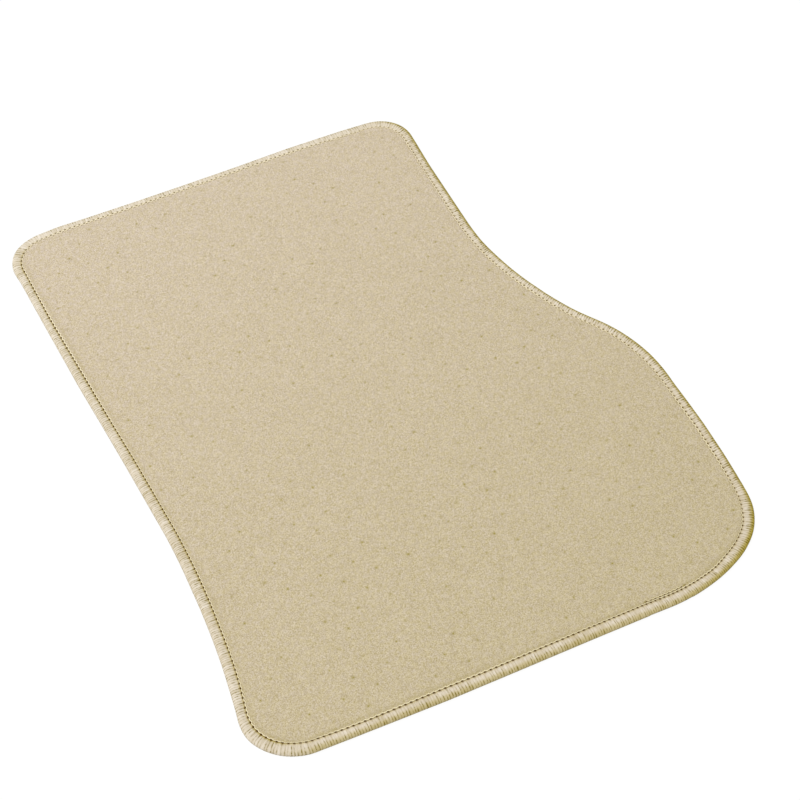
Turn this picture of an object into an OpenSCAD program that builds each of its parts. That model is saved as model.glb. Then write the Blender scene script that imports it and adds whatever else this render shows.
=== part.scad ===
// Carpeted car floor mat for the front passenger's side: cut pile on a nibbed rubber backing, with an
// overlocked edge. It lies flat: +X is the mat's right side, +Y its toe edge and +Z the pile side.

/* [Outline, sharp corners before rounding] */
// Length from the heel edge to the toe edge
mat_l = 700; // [640:1:800]
// Width from the toe edge's left corner to the right side's shoulder
mat_w = 557; // [530:1:640]
// Width of the toe edge
toe_w = 475; // [440:1:500]
// Radius of the toe edge's left corner
toe_left_r = 41; // [25:1:80]
// Radius of the toe edge's right corner
toe_right_r = 42; // [25:1:80]
// How far the toe edge's right corner lies below the left one
toe_drop = 1; // [0:0.5:20]
// How far the left side's waist lies in from the toe edge's left corner
waist_in = 37; // [10:1:60]
// How far the waist lies up from the heel edge
waist_up = 180; // [120:1:260]
// Radius of the slow bend at the waist
waist_r = 900; // [300:10:1500]
// How far the heel's left corner lies in from the toe edge's left corner
heel_left_in = 11; // [0:1:40]
// How far the heel's left corner lies up from the heel edge
heel_left_up = 16; // [0:1:30]
// Radius of the heel's left corner
heel_left_r = 54; // [30:1:90]
// Where the heel edge starts to sweep up, from the toe edge's left corner
heel_sweep_at = 461; // [420:1:480]
// Radius of that sweep
heel_sweep_r = 197; // [80:1:220]
// How far the heel's right corner lies in from the shoulder
heel_right_in = 9; // [0:1:20]
// How far the heel's right corner lies up from the heel edge
heel_right_up = 39; // [25:1:60]
// Radius of the heel's right corner
heel_right_r = 80; // [40:1:100]
// How far the shoulder lies up from the heel edge
shoulder_up = 279; // [240:1:320]
// Radius of the shoulder, where the right side turns in
shoulder_r = 181; // [80:1:220]
// How far the right side's hollow lies in from the shoulder
hollow_in = 91; // [60:1:110]
// How far the hollow lies up from the heel edge
hollow_up = 417; // [390:1:470]
// Radius of the hollow, where the right side turns back
hollow_r = 336; // [150:1:400]

/* [Layers] */
// Height of the nibs that the mat stands on
nib_h = 2.2; // [2:0.1:4]
// Thickness of the rubber sheet that the nibs are moulded on
sheet_t = 1.2; // [0.8:0.1:2]
// Thickness of the latex coat that locks the tufts
latex_t = 0.4; // [0.2:0.1:1]
// Thickness of the woven cloth that the pile is tufted into
cloth_t = 0.6; // [0.4:0.1:1]
// Height of the pile over the cloth
pile_h = 4.6; // [3.5:0.1:9]
// How far the edge stitching presses the pile down
pile_press = 1.4; // [1:0.1:2]

/* [Nibs] */
// Distance between nibs in a row across the mat
nib_pitch = 32.9; // [24:0.1:50]
// Distance between rows, each shifted by half a pitch
nib_row = 15.4; // [12:0.1:25]
// Where the nib nearest the middle lies, across the mat
nib_x = -3.1; // [-8:0.1:8]
// Where the nib nearest the middle lies, along the mat
nib_y = 5.9; // [-8:0.1:8]
// Diameter of a nib at its root
nib_root_d = 4.4; // [3:0.1:6]
// Diameter of a nib's flat tip
nib_tip_d = 1.8; // [1:0.1:2.5]
// Clear strip between the edge yarn and the nearest nib or dimple
nib_margin = 0.4; // [0.3:0.1:10]
// Width of the dimple that each nib leaves in the pile
dimple_d = 2.0; // [1:0.1:4]
// Width of the dimple's floor
dimple_floor_d = 0.8; // [0.4:0.1:1]
// Depth of the dimple
dimple_depth = 0.9; // [0.3:0.1:1.5]

/* [Overlocked edge] */
// Width of the edge yarn over the top, from the rim to the needle holes
edge_w = 9.4; // [7:0.1:14]
// Thickness of the edge yarn over and under the mat
yarn_t = 1.3; // [1:0.1:1.5]
// Depth of the yarn bundle outside the cut edge of the layers
bundle_t = 2.2; // [2:0.1:3.5]
// How much thinner the yarn is drawn at the stitches
yarn_draw = 0.6; // [0.2:0.1:0.8]
// Diameter of the needle thread
thread_d = 0.9; // [0.6:0.1:1.2]
// Gap between the edge yarn and the thread, where the needle holes lie
hole_gap = 0.85; // [0.4:0.05:1.5]
// Room between the thread and the pile that rises beside it
thread_clear = 0.15; // [0.1:0.05:0.4]
// Diameter of a stitch at its ends, where the thread dives into the pile
thread_end_d = 0.5; // [0.3:0.1:0.6]
// Length of the taper at each end of a stitch
thread_taper = 0.5; // [0.2:0.1:0.8]
// Distance from one needle hole to the next
stitch_pitch = 5.1; // [3:0.1:8]
// Gap at a needle hole, between one stitch and the next
stitch_gap = 0.4; // [0.3:0.1:1]
// Where the seam's end starts to run beside its beginning, from the heel's left corner
tie_at = 395; // [100:1:430]
// Length over which the seam's two ends run side by side
tie_l = 38; // [20:1:60]
// Distance between the two rows of stitches there
tie_gap = 2.6; // [2:0.1:4]

/* [Hidden] */

// Heights of the layers, from the floor up
sheet_z = nib_h;
latex_z = sheet_z + sheet_t;
cloth_z = latex_z + latex_t;
pile_z = cloth_z + cloth_t;
top_z = pile_z + pile_h;
border_z = top_z - pile_press;

// The rim of the edge yarn is a half circle over the full height of the bundle
rim_r = (border_z + yarn_t - (sheet_z - yarn_t)) / 2;
rim_z = (border_z + sheet_z) / 2;
rim_steps = 6;

// Distances in from the rim: the stitches, the full height of the pile and the yarn under the mat
stitch_in = edge_w + hole_gap + thread_d / 2;
thread_room = thread_d / 2 + thread_clear;
field_in = stitch_in + thread_room;
under_w = stitch_in + tie_gap + thread_d;
nib_in = under_w + nib_margin + nib_root_d / 2;

// Overrun of a cut past the face that it opens
over = 0.1;
// The dimple's cone runs on past the face of the pile
dimple_over_d = dimple_d + (dimple_d - dimple_floor_d) * over / dimple_depth;

// How far a short chord may leave a true arc of the outline
arc_tolerance = 0.08;

// Corners of the outline, anticlockwise from the heel's left: across, along and radius
corners = [
    [heel_left_in, heel_left_up, heel_left_r],
    [heel_sweep_at, 0, heel_sweep_r],
    [mat_w - heel_right_in, heel_right_up, heel_right_r],
    [mat_w, shoulder_up, shoulder_r],
    [mat_w - hollow_in, hollow_up, hollow_r],
    [toe_w, mat_l - toe_drop, toe_right_r],
    [0, mat_l, toe_left_r],
    [waist_in, waist_up, waist_r],
];
last = len(corners) - 1;

function corner(k) = let (c = corners[(k + len(corners)) % len(corners)]) [c.x, c.y];
function ahead(k) = (corner(k + 1) - corner(k)) / norm(corner(k + 1) - corner(k));
// Angle that the outline turns by at a corner, positive to the left
function turn(k) = let (u = ahead(k - 1), v = ahead(k)) atan2(u.x * v.y - u.y * v.x, u * v);
// Length of straight edge that the full radius takes up on each side of a corner
function reach(k) = corners[(k + len(corners)) % len(corners)].z * tan(abs(turn(k)) / 2);
// Share of that length which the straight edge after a corner has room for
function room(k) = min(1, norm(corner(k + 1) - corner(k)) / (reach(k) + reach(k + 1)));

// Each corner's arc: centre, radius, first angle, angle turned and number of chords
arcs = [for (k = [0:last])
    let (side = sign(turn(k)),
         radius = corners[k].z * min(room(k - 1), room(k)),
         inward = [-ahead(k - 1).y, ahead(k - 1).x] * side,
         start = corner(k) - ahead(k - 1) * radius * tan(abs(turn(k)) / 2),
         chord = 2 * acos(1 - arc_tolerance / radius))
    [start + inward * radius, radius, atan2(-inward.y, -inward.x), turn(k),
     ceil(abs(turn(k)) / chord)]];

function drawn_outline(inset) = [for (a = arcs) for (j = [0:a[4]])
    let (angle = a[2] + a[3] * j / a[4])
    a[0] + (a[1] - sign(a[3]) * inset) * [cos(angle), sin(angle)]];

// The mat's own middle, half way across and along the outline
rim_xs = [for (p = drawn_outline(0)) p.x];
rim_ys = [for (p = drawn_outline(0)) p.y];
middle = [min(rim_xs) + max(rim_xs), min(rim_ys) + max(rim_ys)] / 2;

// Outline at a distance in from the rim, round the mat's own middle
function outline(inset) = [for (p = drawn_outline(inset)) p - middle];

// A closed path as a table of its length at each point, which place() reads
function lengths(path) = [for (k = 0, s = 0; k <= len(path);
    s = s + norm(path[(k + 1) % len(path)] - path[k % len(path)]), k = k + 1) s];
function along_x(path, at) = [for (k = [0:len(path)]) [at[k], path[k % len(path)].x]];
function along_y(path, at) = [for (k = [0:len(path)]) [at[k], path[k % len(path)].y]];
// The row of stitches as [table of x, table of y, whole length]
function row(inset) = let (path = outline(inset), at = lengths(path))
    [along_x(path, at), along_y(path, at), at[len(path)]];
function place(row, s) = [lookup(s, row[0]), lookup(s, row[1])];

// Stitches [x, y, heading, length] from one length to another along a row
function stitches_between(row, from, to, count) = [for (k = [0:count - 1])
    let (s = from + (to - from) * k / count,
         e = from + (to - from) * (k + 1) / count,
         p = place(row, s),
         q = place(row, e))
    [p.x, p.y, atan2(q.y - p.y, q.x - p.x), norm(q - p)]];
seam = row(stitch_in);
tie = row(stitch_in + tie_gap);
stitches = concat(
    stitches_between(seam, 0, seam[2], round(seam[2] / stitch_pitch)),
    stitches_between(tie, tie_at, tie_at + tie_l, round(tie_l / stitch_pitch)));

// Whether a point lies inside a closed path, by the crossings of a line to its right
function inside(p, path) = let (n = len(path))
    len([for (k = [0:n - 1]) let (a = path[k], b = path[(k + 1) % n])
        if ((a.y > p.y) != (b.y > p.y) && p.x < a.x + (b.x - a.x) * (p.y - a.y) / (b.y - a.y)) 1]) % 2 == 1;

// Nibs and dimples share one staggered lattice
nib_limit = outline(nib_in);
nib_rows = ceil(mat_l / nib_row / 2);
nib_columns = ceil(mat_w / nib_pitch / 2);
nib_places = [for (j = [-nib_rows:nib_rows]) for (i = [-nib_columns:nib_columns])
    let (p = [nib_x + (i + (j % 2 == 0 ? 0 : 0.5)) * nib_pitch, nib_y + j * nib_row])
    if (inside(p, nib_limit)) p];

// A ring round the mat from a closed profile of points [distance in from the rim, height]
module ring(profile) {
    n = len(outline(0));
    m = len(profile);
    points = [for (c = profile) for (p = outline(c.x)) [p.x, p.y, c.y]];
    sides = [for (i = [0:m - 1]) for (k = [0:n - 1])
        let (a = i * n + k, b = i * n + (k + 1) % n,
             c = ((i + 1) % m) * n + k, d = ((i + 1) % m) * n + (k + 1) % n)
        each [[a, b, d], [a, d, c]]];
    polyhedron(points, sides, convexity = 10);
}

// A layer of the mat, cut to the outline
module layer(z, t) {
    translate([0, 0, z])
        linear_extrude(t, convexity = 10)
            polygon(outline(bundle_t));
}

// The strip of pile that the seam's second row presses down beside the first
module tie_strip() {
    steps = 12;
    inner = row(stitch_in + tie_gap + thread_room);
    outer = row(stitch_in);
    from = tie_at - stitch_pitch / 2;
    to = tie_at + tie_l + stitch_pitch / 2;
    polygon(concat(
        [for (j = [0:steps]) place(outer, from + (to - from) * j / steps)],
        [for (j = [steps:-1:0]) place(inner, from + (to - from) * j / steps)]));
}

module pile_face() {
    color([0.80, 0.74, 0.62])
        difference() {
            union() {
                layer(pile_z, border_z - pile_z);
                translate([0, 0, border_z])
                    linear_extrude(top_z - border_z, convexity = 10)
                        difference() {
                            polygon(outline(field_in));
                            tie_strip();
                        }
            }
            for (p = nib_places)
                translate([p.x, p.y, top_z - dimple_depth])
                    cylinder(h = dimple_depth + over, d1 = dimple_floor_d, d2 = dimple_over_d, $fn = 24);
        }
}

module primary_backing() {
    color([0.87, 0.84, 0.76])
        layer(cloth_z, cloth_t);
}

module latex_coat() {
    color([0.93, 0.91, 0.84])
        layer(latex_z, latex_t);
}

module nib_backing() {
    color([0.16, 0.16, 0.16]) {
        layer(sheet_z, sheet_t);
        for (p = nib_places)
            translate([p.x, p.y, 0])
                cylinder(h = nib_h, d1 = nib_tip_d, d2 = nib_root_d, $fn = 24);
    }
}

// The upper looper's yarn covers the top of the edge and the upper half of the rim
module upper_looper_yarn() {
    color([0.90, 0.85, 0.77])
        ring(concat(
            [[edge_w, border_z], [edge_w, border_z + yarn_t - yarn_draw]],
            [for (j = [0:rim_steps]) let (angle = 90 - 90 * j / rim_steps)
                [rim_r - rim_r * cos(angle), rim_z + rim_r * sin(angle)]],
            [[bundle_t, rim_z], [bundle_t, border_z]]));
}

// The lower looper's yarn covers the lower half of the rim and runs on under the needle's stitches
module lower_looper_yarn() {
    color([0.84, 0.78, 0.66])
        ring(concat(
            [[bundle_t, sheet_z], [bundle_t, rim_z]],
            [for (j = [0:rim_steps]) let (angle = -90 * j / rim_steps)
                [rim_r - rim_r * cos(angle), rim_z + rim_r * sin(angle)]],
            [[under_w, sheet_z - yarn_t + yarn_draw], [under_w, sheet_z]]));
}

// One stitch lies in the groove and thins at both ends, where it dives into the needle holes
module stitch(run) {
    translate([0, 0, border_z + thread_d / 2])
        rotate([0, 90, 0])
            rotate_extrude($fn = 24)
                polygon([[0, 0], [thread_end_d / 2, 0], [thread_d / 2, thread_taper],
                         [thread_d / 2, run - thread_taper], [thread_end_d / 2, run], [0, run]]);
}

module needle_stitches() {
    color([0.95, 0.91, 0.79])
        for (h = stitches)
            translate([h.x, h.y, 0])
                rotate(h.z)
                    translate([stitch_gap / 2, 0, 0])
                        stitch(h[3] - stitch_gap);
}

pile_face();
primary_backing();
latex_coat();
nib_backing();
upper_looper_yarn();
lower_looper_yarn();
needle_stitches();
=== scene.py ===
# %% [markdown]
# # A carpeted car floor mat
#
# The real mat is a sandwich. Cut pile is tufted into a woven cloth, a latex coat under the cloth locks the
# tufts, and a moulded rubber sheet with nibs grips the car's floor. Bulky yarn is overlocked round the cut
# edge. The solids of the CAD source come in first and set every size. The visible pieces are then built
# over them as numpy surfaces, because a carpet and a sewn edge are patterns that repeat hundreds of times.

import math

import bpy
import numpy as np
from mathutils import Matrix, Vector, geometry


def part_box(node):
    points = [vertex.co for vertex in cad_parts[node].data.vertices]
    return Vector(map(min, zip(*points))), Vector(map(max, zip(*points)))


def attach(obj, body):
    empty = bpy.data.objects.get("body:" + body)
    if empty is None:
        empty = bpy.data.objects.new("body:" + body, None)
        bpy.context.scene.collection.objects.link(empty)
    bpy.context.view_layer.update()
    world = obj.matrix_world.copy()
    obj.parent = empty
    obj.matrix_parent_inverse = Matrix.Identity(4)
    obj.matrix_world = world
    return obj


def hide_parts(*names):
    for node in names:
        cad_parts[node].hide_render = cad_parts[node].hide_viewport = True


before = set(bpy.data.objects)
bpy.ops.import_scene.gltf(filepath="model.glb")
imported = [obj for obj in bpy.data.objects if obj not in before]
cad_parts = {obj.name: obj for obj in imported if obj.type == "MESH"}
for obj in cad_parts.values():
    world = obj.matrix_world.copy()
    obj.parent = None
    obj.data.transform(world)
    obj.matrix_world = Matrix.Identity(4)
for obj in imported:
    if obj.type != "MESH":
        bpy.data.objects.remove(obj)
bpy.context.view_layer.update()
scene = bpy.context.scene
MM = 0.001

# %% [markdown]
# ## Camera
#
# The photo looks down on the mat from its front left corner. The regular lattice of dimples fixes where the
# camera stood: once its rows and columns fall into place, so does the outline. The focal length was found
# in pixels of an 800 pixel frame, so the lens follows from the sensor's width.

# %% Place the camera
AIM = Vector((0.0183, -0.0299, 0.0090))
CAMERA_DISTANCE = 1.5877
AZIMUTH, ELEVATION, ROLL = (math.radians(a) for a in (-24.490, 53.204, -1.566))
FOCAL_PX, FRAME_PX, SENSOR_MM = 1593.6, 800, 36.0

back = Vector((math.sin(AZIMUTH) * math.cos(ELEVATION),
               -math.cos(AZIMUTH) * math.cos(ELEVATION),
               math.sin(ELEVATION)))
level = Vector((math.cos(AZIMUTH), math.sin(AZIMUTH), 0))
right = level * math.cos(ROLL) + back.cross(level) * math.sin(ROLL)
camera = bpy.data.objects.new("camera", bpy.data.cameras.new("camera"))
camera.data.sensor_width = SENSOR_MM
camera.data.lens = FOCAL_PX / FRAME_PX * SENSOR_MM
camera.matrix_world = (Matrix.Translation(AIM + back * CAMERA_DISTANCE)
                       @ Matrix((right, back.cross(right), back)).transposed().to_4x4())
scene.collection.objects.link(camera)
scene.camera = camera
print("camera at", [round(c, 3) for c in camera.matrix_world.translation],
      "with a lens of", round(camera.data.lens, 1), "mm")

# %% [markdown]
# ## Outline
#
# The cutter's outline is eight straight edges with rounded corners, two of which turn outwards: the hollow
# on the right and the slow waist on the left. A spline would do, but arcs between straight lines are how
# such a pattern is drawn, and the CAD source uses the same corners. The seam runs 10.7 mm in from the rim.
# Everything on the edge is placed by its length along the seam and its distance in from the rim, because
# the machine feeds the stitches along the seam and the yarn fans out from there at the corners.

# %% Draw the outline
# Across, along and radius in mm, anticlockwise from the heel's left corner
CORNERS = np.array([
    (11, 16, 54), (461, 0, 197), (548, 39, 80), (557, 279, 181),
    (466, 417, 336), (475, 699, 42), (0, 700, 41), (37, 180, 900)], float)
SEAM_IN = 10.7
ARC_STEPS = 240


def rounded_outline(corners, steps):
    """Points and outward normals of a closed line of straight edges and arcs. Each arc touches both edges
    of its corner, so it starts radius * tan(turn / 2) before the corner and turns by the corner's angle."""
    point, radius = corners[:, :2], corners[:, 2]
    entry = point - np.roll(point, 1, axis=0)
    entry /= np.linalg.norm(entry, axis=1, keepdims=True)
    leave = np.roll(entry, -1, axis=0)
    turn = np.arctan2(entry[:, 0] * leave[:, 1] - entry[:, 1] * leave[:, 0], (entry * leave).sum(axis=1))
    left = np.stack([-entry[:, 1], entry[:, 0]], axis=1)
    start = point - entry * (radius * np.tan(abs(turn) / 2))[:, None]
    centre = start + left * (np.sign(turn) * radius)[:, None]
    first = np.arctan2(-left[:, 1], -left[:, 0])
    angle = first[:, None] + turn[:, None] * np.linspace(0, 1, steps)
    normal = np.stack([np.cos(angle), np.sin(angle)], axis=2)
    arc = centre[:, None] + (np.sign(turn) * radius)[:, None, None] * normal
    return arc.reshape(-1, 2), normal.reshape(-1, 2)


rim_points, rim_normals = rounded_outline(CORNERS, ARC_STEPS)
rim_points -= (rim_points.min(axis=0) + rim_points.max(axis=0)) / 2
seam_line = rim_points - rim_normals * SEAM_IN
seam_steps = np.linalg.norm(np.diff(seam_line, axis=0, append=seam_line[:1]), axis=1)
SEAM_AT = np.concatenate([[0], np.cumsum(seam_steps)])
SEAM_LENGTH = SEAM_AT[-1]
edge_table = np.concatenate([rim_points, rim_normals], axis=1)
edge_table = np.concatenate([edge_table, edge_table[:1]])


def edge_point(s, t, z):
    """Point in mm at length s along the seam, t in from the rim and z up: the rim's point at s, moved
    against the outward normal there by t."""
    s, t, z = np.broadcast_arrays(s, t, z)
    px, py, nx, ny = (np.interp(s % SEAM_LENGTH, SEAM_AT, column) for column in edge_table.T)
    size = np.hypot(nx, ny)
    return np.stack([px - t * nx / size, py - t * ny / size, z], axis=-1)


rim_size = np.ptp(rim_points, axis=0)
yarn_low, yarn_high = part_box("upper_looper_yarn")
print("seam", round(SEAM_LENGTH, 1), "mm long, rim", rim_size.round(2), "mm, CAD",
      [round((b - a) / MM, 2) for a, b in zip(yarn_low, yarn_high)][:2], "mm")

# %% [markdown]
# ## The hand of the operator
#
# The edge is fed through the overlock machine by hand, so the seam drifts in and out, most of all after the
# corners, and the stitches get shorter where the mat is held back. A random wobble would look sewn too, but
# the drift was measured along the real edge. Straight lines between the measured places, averaged over a
# short length, give back its slow curves.

# %% Let the seam drift
HOLE_IN, STILL_IN = 9.83, 15.2
# Length along the seam, then how far the rim and the needle holes lie in from where they were drawn, in mm
DRIFT = np.array([
    (0, 0.9, -0.3), (19, -0.7, -0.2), (38, 0.9, 1.1), (57, 1.8, 2.6), (76, 1.7, 1.7), (96, 1.2, 0.3),
    (126, 0.7, -0.6), (156, 0.2, -0.4), (196, -0.4, -0.1), (236, -0.1, -0.4), (276, 0.2, 0.3),
    (336, 0.8, 1.1), (396, 1.0, 1.6), (426, 0.6, 1.1), (456, 0.6, 0.4), (475, 0.4, -0.1), (495, 0.5, 1.5),
    (515, 0.8, 2.1), (534, 0.1, 1.4), (553, 0.3, 2.6), (573, 1.9, 2.7), (593, 0.7, 0.9), (613, -0.2, -0.6),
    (653, -0.8, -1.2), (683, -0.0, -0.1), (713, 1.3, 1.2), (752, 0.1, 1.6), (792, 0.1, 0.2),
    (841, 1.0, 0.8), (892, 0.2, -1.0), (952, 0.4, 0.6), (982, 0.9, 0.9), (1023, -0.2, 0.3),
    (1113, 1.0, 1.1), (1153, 0.1, 0.4), (1181, -0.3, 2.3), (1209, 2.2, 3.2), (1239, 0.5, 1.7),
    (1279, -0.1, -0.5), (1309, -0.4, -2.0), (1369, 0.9, -1.8), (1429, 1.1, -1.1), (1489, 0.9, -1.3),
    (1549, -0.0, -2.0), (1579, -1.3, -2.0), (1609, 0.6, 0.6), (1627, -0.8, 0.8), (1666, 0.8, -0.3),
    (1726, 0.2, -1.6), (1786, -0.1, -1.2), (1826, -0.4, -0.7), (1886, 0.5, -0.0), (1936, 0.9, 1.1),
    (2036, 1.0, 1.3), (2096, 0.0, 0.8), (2146, 0.3, 0.4), (2186, 0.6, 1.0), (2211, 0.6, 0.6)])
# Length along the seam and length of a stitch there, in mm
FEED = np.array([
    (0, 4.90), (76, 5.40), (236, 5.52), (316, 5.50), (396, 4.60), (475, 4.50), (553, 4.80), (643, 5.30),
    (713, 5.50), (872, 5.20), (1033, 5.20), (1191, 5.05), (1289, 5.50), (1489, 5.56), (1666, 5.27),
    (1826, 5.12), (1926, 4.60), (1986, 4.36), (2146, 4.50)])
AVERAGED_OVER = 17
along = np.arange(0, SEAM_LENGTH, 1.0)


def closed_curve(at, values):
    """A measured value at every millimetre round the seam: straight lines between the measured places,
    averaged over a bell-shaped window."""
    window = np.hanning(AVERAGED_OVER + 2)[1:-1]
    line = np.interp(along, at, values, period=SEAM_LENGTH)
    ring = np.concatenate([line[-AVERAGED_OVER:], line, line[:AVERAGED_OVER]])
    return np.convolve(ring, window / window.sum(), "same")[AVERAGED_OVER:-AVERAGED_OVER]


rim_drift = closed_curve(DRIFT[:, 0], DRIFT[:, 1])
hole_drift = closed_curve(DRIFT[:, 0], DRIFT[:, 2])


def sewn_point(s, t, z):
    """edge_point with the drift: the rim moves by its drift, the needle holes by theirs, what lies between
    them in proportion, and the pile that lies STILL_IN in from the rim stays where it was drawn."""
    s, t = np.broadcast_arrays(s, t)
    share = np.clip(t / HOLE_IN, 0, 1)
    fade = np.clip((STILL_IN - t) / (STILL_IN - HOLE_IN), 0, 1)
    rim, hole = (np.interp(s % SEAM_LENGTH, along, d, period=SEAM_LENGTH) for d in (rim_drift, hole_drift))
    return edge_point(s, t + (1 - share) * rim + share * fade * hole, z)


stitches_to = np.concatenate([[0], np.cumsum(np.diff(along, append=SEAM_LENGTH)
                                             / closed_curve(FEED[:, 0], FEED[:, 1]))])
STITCHES = round(stitches_to[-1])
stitches_to *= STITCHES / stitches_to[-1]


def needle_at(k):
    """Length along the seam of needle hole number k, where a part of k lies that far into its stitch."""
    return np.interp(k % STITCHES, stitches_to, np.append(along, SEAM_LENGTH)) + k // STITCHES * SEAM_LENGTH


print(STITCHES, "stitches of", round(SEAM_LENGTH / STITCHES, 2), "mm on average, seam drifts by up to",
      round(float(abs(hole_drift).max()), 1), "mm")

# %% [markdown]
# ## Helpers for meshes
#
# A piece is a cloud of points with triangles between them. One function turns arrays into an object that
# sits at the origin. It turns the faces outwards if the closed volume that they bound comes out negative.
# Values that a material reads, such as how deep a point lies in a crease, go along as attributes.

# %% Turn arrays into a piece
rng = np.random.default_rng(24)
# What a triangulation keeps, and how close in mm two points are one
ONLY_INSIDE, SAME_POINT = 1, 1e-5


def signed_volume(points, triangles):
    """Volume of a closed mesh: the sum of its triangles' triple products, over six."""
    a, b, c = (points[triangles[:, k]] for k in range(3))
    return float((a * np.cross(b, c)).sum() / 6)


def make_piece(name, points, triangles, material, **values):
    """A smooth-shaded mesh object from points in mm, triangles and one number or vector per point."""
    if signed_volume(points, triangles) < 0:
        triangles = triangles[:, ::-1]
    mesh = bpy.data.meshes.new(name)
    mesh.from_pydata((points * MM).tolist(), [], triangles.tolist())
    mesh.polygons.foreach_set("use_smooth", np.ones(len(triangles), bool))
    for key, value in values.items():
        kind, field = ("FLOAT", "value") if value.ndim == 1 else ("FLOAT_VECTOR", "vector")
        mesh.attributes.new(key, kind, "POINT").data.foreach_set(field, value.astype(np.float32).ravel())
    mesh.materials.append(material)
    piece = bpy.data.objects.new(name, mesh)
    scene.collection.objects.link(piece)
    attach(piece, "root")
    print(name, "has", len(points), "points,", len(triangles), "triangles and",
          round(signed_volume(points, triangles) / 1000, 1), "cm3")
    return piece


def grid_triangles(rows, columns, columns_close):
    """Two triangles for each cell of a grid of points that closes from its last row to its first."""
    i, j = np.meshgrid(np.arange(rows), np.arange(columns if columns_close else columns - 1), indexing="ij")
    a, b = i * columns + j, i * columns + (j + 1) % columns
    c, d = (i + 1) % rows * columns + (j + 1) % columns, (i + 1) % rows * columns + j
    return np.concatenate([np.stack(t, axis=-1).reshape(-1, 3) for t in ((a, c, b), (a, d, c))])


def circle(sides):
    """Points round a circle of radius 1: cosine and sine of angles that are evenly spaced."""
    angle = np.arange(sides) * 2 * math.pi / sides
    return np.stack([np.cos(angle), np.sin(angle)], axis=-1)


def wall(upper, lower):
    """Two triangles for each step along two closed lines of points, given by their numbers."""
    return np.concatenate([np.stack([upper, lower, np.roll(lower, -1)], axis=1),
                           np.stack([upper, np.roll(lower, -1), np.roll(upper, -1)], axis=1)])


def fill(line, points=np.zeros((0, 2))):
    """Triangles, anticlockwise from above, that fill a closed line and pass through the points inside it,
    by a Delaunay triangulation that keeps the line. The line's points are numbered first."""
    loop = np.arange(len(line))
    flat = [Vector(p) for p in np.concatenate([line, points]).tolist()]
    edges = np.stack([loop, np.roll(loop, -1)], axis=1).tolist()
    result = geometry.delaunay_2d_cdt(flat, edges, [], ONLY_INSIDE, SAME_POINT)
    number = np.array([source[0] for source in result[3]])
    return number[np.array([tuple(face) for face in result[2]])]


# %% [markdown]
# ## Helpers for materials
#
# Every finish is a small node tree. Colours are written as they look on a screen, in sRGB, and turned to
# the linear values that the renderer works in. Patterns read the object's own coordinates, which are metres
# here, so a noise with features of d millimetres has a scale of 1000 / d. Pile, yarn and thread all get
# darker and yellower towards the heel, by painted shade that stands in for light falling off across the mat.

# %% Colours, nodes and materials
# Direction of growing painted shade, from the toe's left to the heel, and how far it grows each way, in
# metres
HEEL_WAY, HEEL_REACH = Vector((0.22, -0.98, 0)), 0.42


def linear(colour):
    """Linear RGBA of an sRGB hex colour: c / 12.92 up to 0.04045, otherwise ((c + 0.055) / 1.055) ^ 2.4."""
    srgb = np.array([int(colour[k:k + 2], 16) for k in (1, 3, 5)]) / 255
    rgb = np.where(srgb <= 0.04045, srgb / 12.92, ((srgb + 0.055) / 1.055) ** 2.4)
    return (*rgb.tolist(), 1.0)


def per_mm(size):
    """Texture scale that gives features of a size in mm on coordinates in metres."""
    return 1 / (size * MM)


def add_node(tree, kind, settings, inputs):
    """Adds a node, sets its properties, and sets or links its inputs by name or number. A mix has its share
    at 0 and its two colours at 6 and 7, and gives the mixed colour at 2."""
    node = tree.nodes.new(kind)
    for key, value in settings.items():
        setattr(node, key, value)
    for key, value in inputs.items():
        if isinstance(value, bpy.types.NodeSocket):
            tree.links.new(value, node.inputs[key])
        else:
            node.inputs[key].default_value = value
    return node


def new_material(name):
    """An empty material and its node tree."""
    material = bpy.data.materials.new(name)
    material.use_nodes = True
    material.node_tree.nodes.clear()
    return material, material.node_tree


def set_surface(material, shader):
    """Shows a shader node's result on the material."""
    tree = material.node_tree
    add_node(tree, "ShaderNodeOutputMaterial", {}, {"Surface": shader.outputs[0]})
    print(material.name, "has", len(tree.nodes), "nodes")


def heel_shade(tree, place, colour, tint):
    """Output of nodes that multiply a colour by a tint of painted shade: not at all at the toe, fully at the
    heel, and in proportion to the way towards the heel between them."""
    towards_heel = add_node(tree, "ShaderNodeVectorMath", {"operation": "DOT_PRODUCT"}, {0: place, 1: HEEL_WAY})
    heel_share = add_node(tree, "ShaderNodeMapRange", {}, {
        "Value": towards_heel.outputs["Value"], "From Min": -HEEL_REACH, "From Max": HEEL_REACH})
    return add_node(tree, "ShaderNodeMix", {"data_type": "RGBA", "blend_type": "MULTIPLY"}, {
        0: heel_share.outputs[0], 6: colour, 7: tint}).outputs[2]


# %% [markdown]
# ## Finish of the pile
#
# Cut pile of spun nylon: each tuft is a brush of fibres seen end on, so the face is matt, with a grain of
# light tips and shaded gaps, and a soft sheen at low angles. The dye takes unevenly from tuft to tuft, more
# in yellow than in lightness. Over each nib the tufts are pulled down, and painted olive shade marks the
# dimple. Painted olive shade also runs along the seam, and painted brown shade fills the needle holes.

# %% Cut nylon pile
TUFT_MM, DYE_MM, LEAN_MM, PATCH_MM = 0.95, 4.0, 18, 75

pile_finish, tree = new_material("cut_nylon_pile_beige")
place = add_node(tree, "ShaderNodeTexCoord", {}, {}).outputs["Object"]
dent, press = (add_node(tree, "ShaderNodeAttribute", {"attribute_name": key}, {}).outputs["Fac"]
               for key in ("dent", "press"))
grain, dye, lean, patch = (add_node(tree, "ShaderNodeTexNoise", {}, {
    "Vector": place, "Scale": per_mm(size), "Detail": detail, "Roughness": 0.55}).outputs["Fac"]
    for size, detail in ((TUFT_MM, 1), (DYE_MM, 2), (LEAN_MM, 2), (PATCH_MM, 2)))
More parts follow.
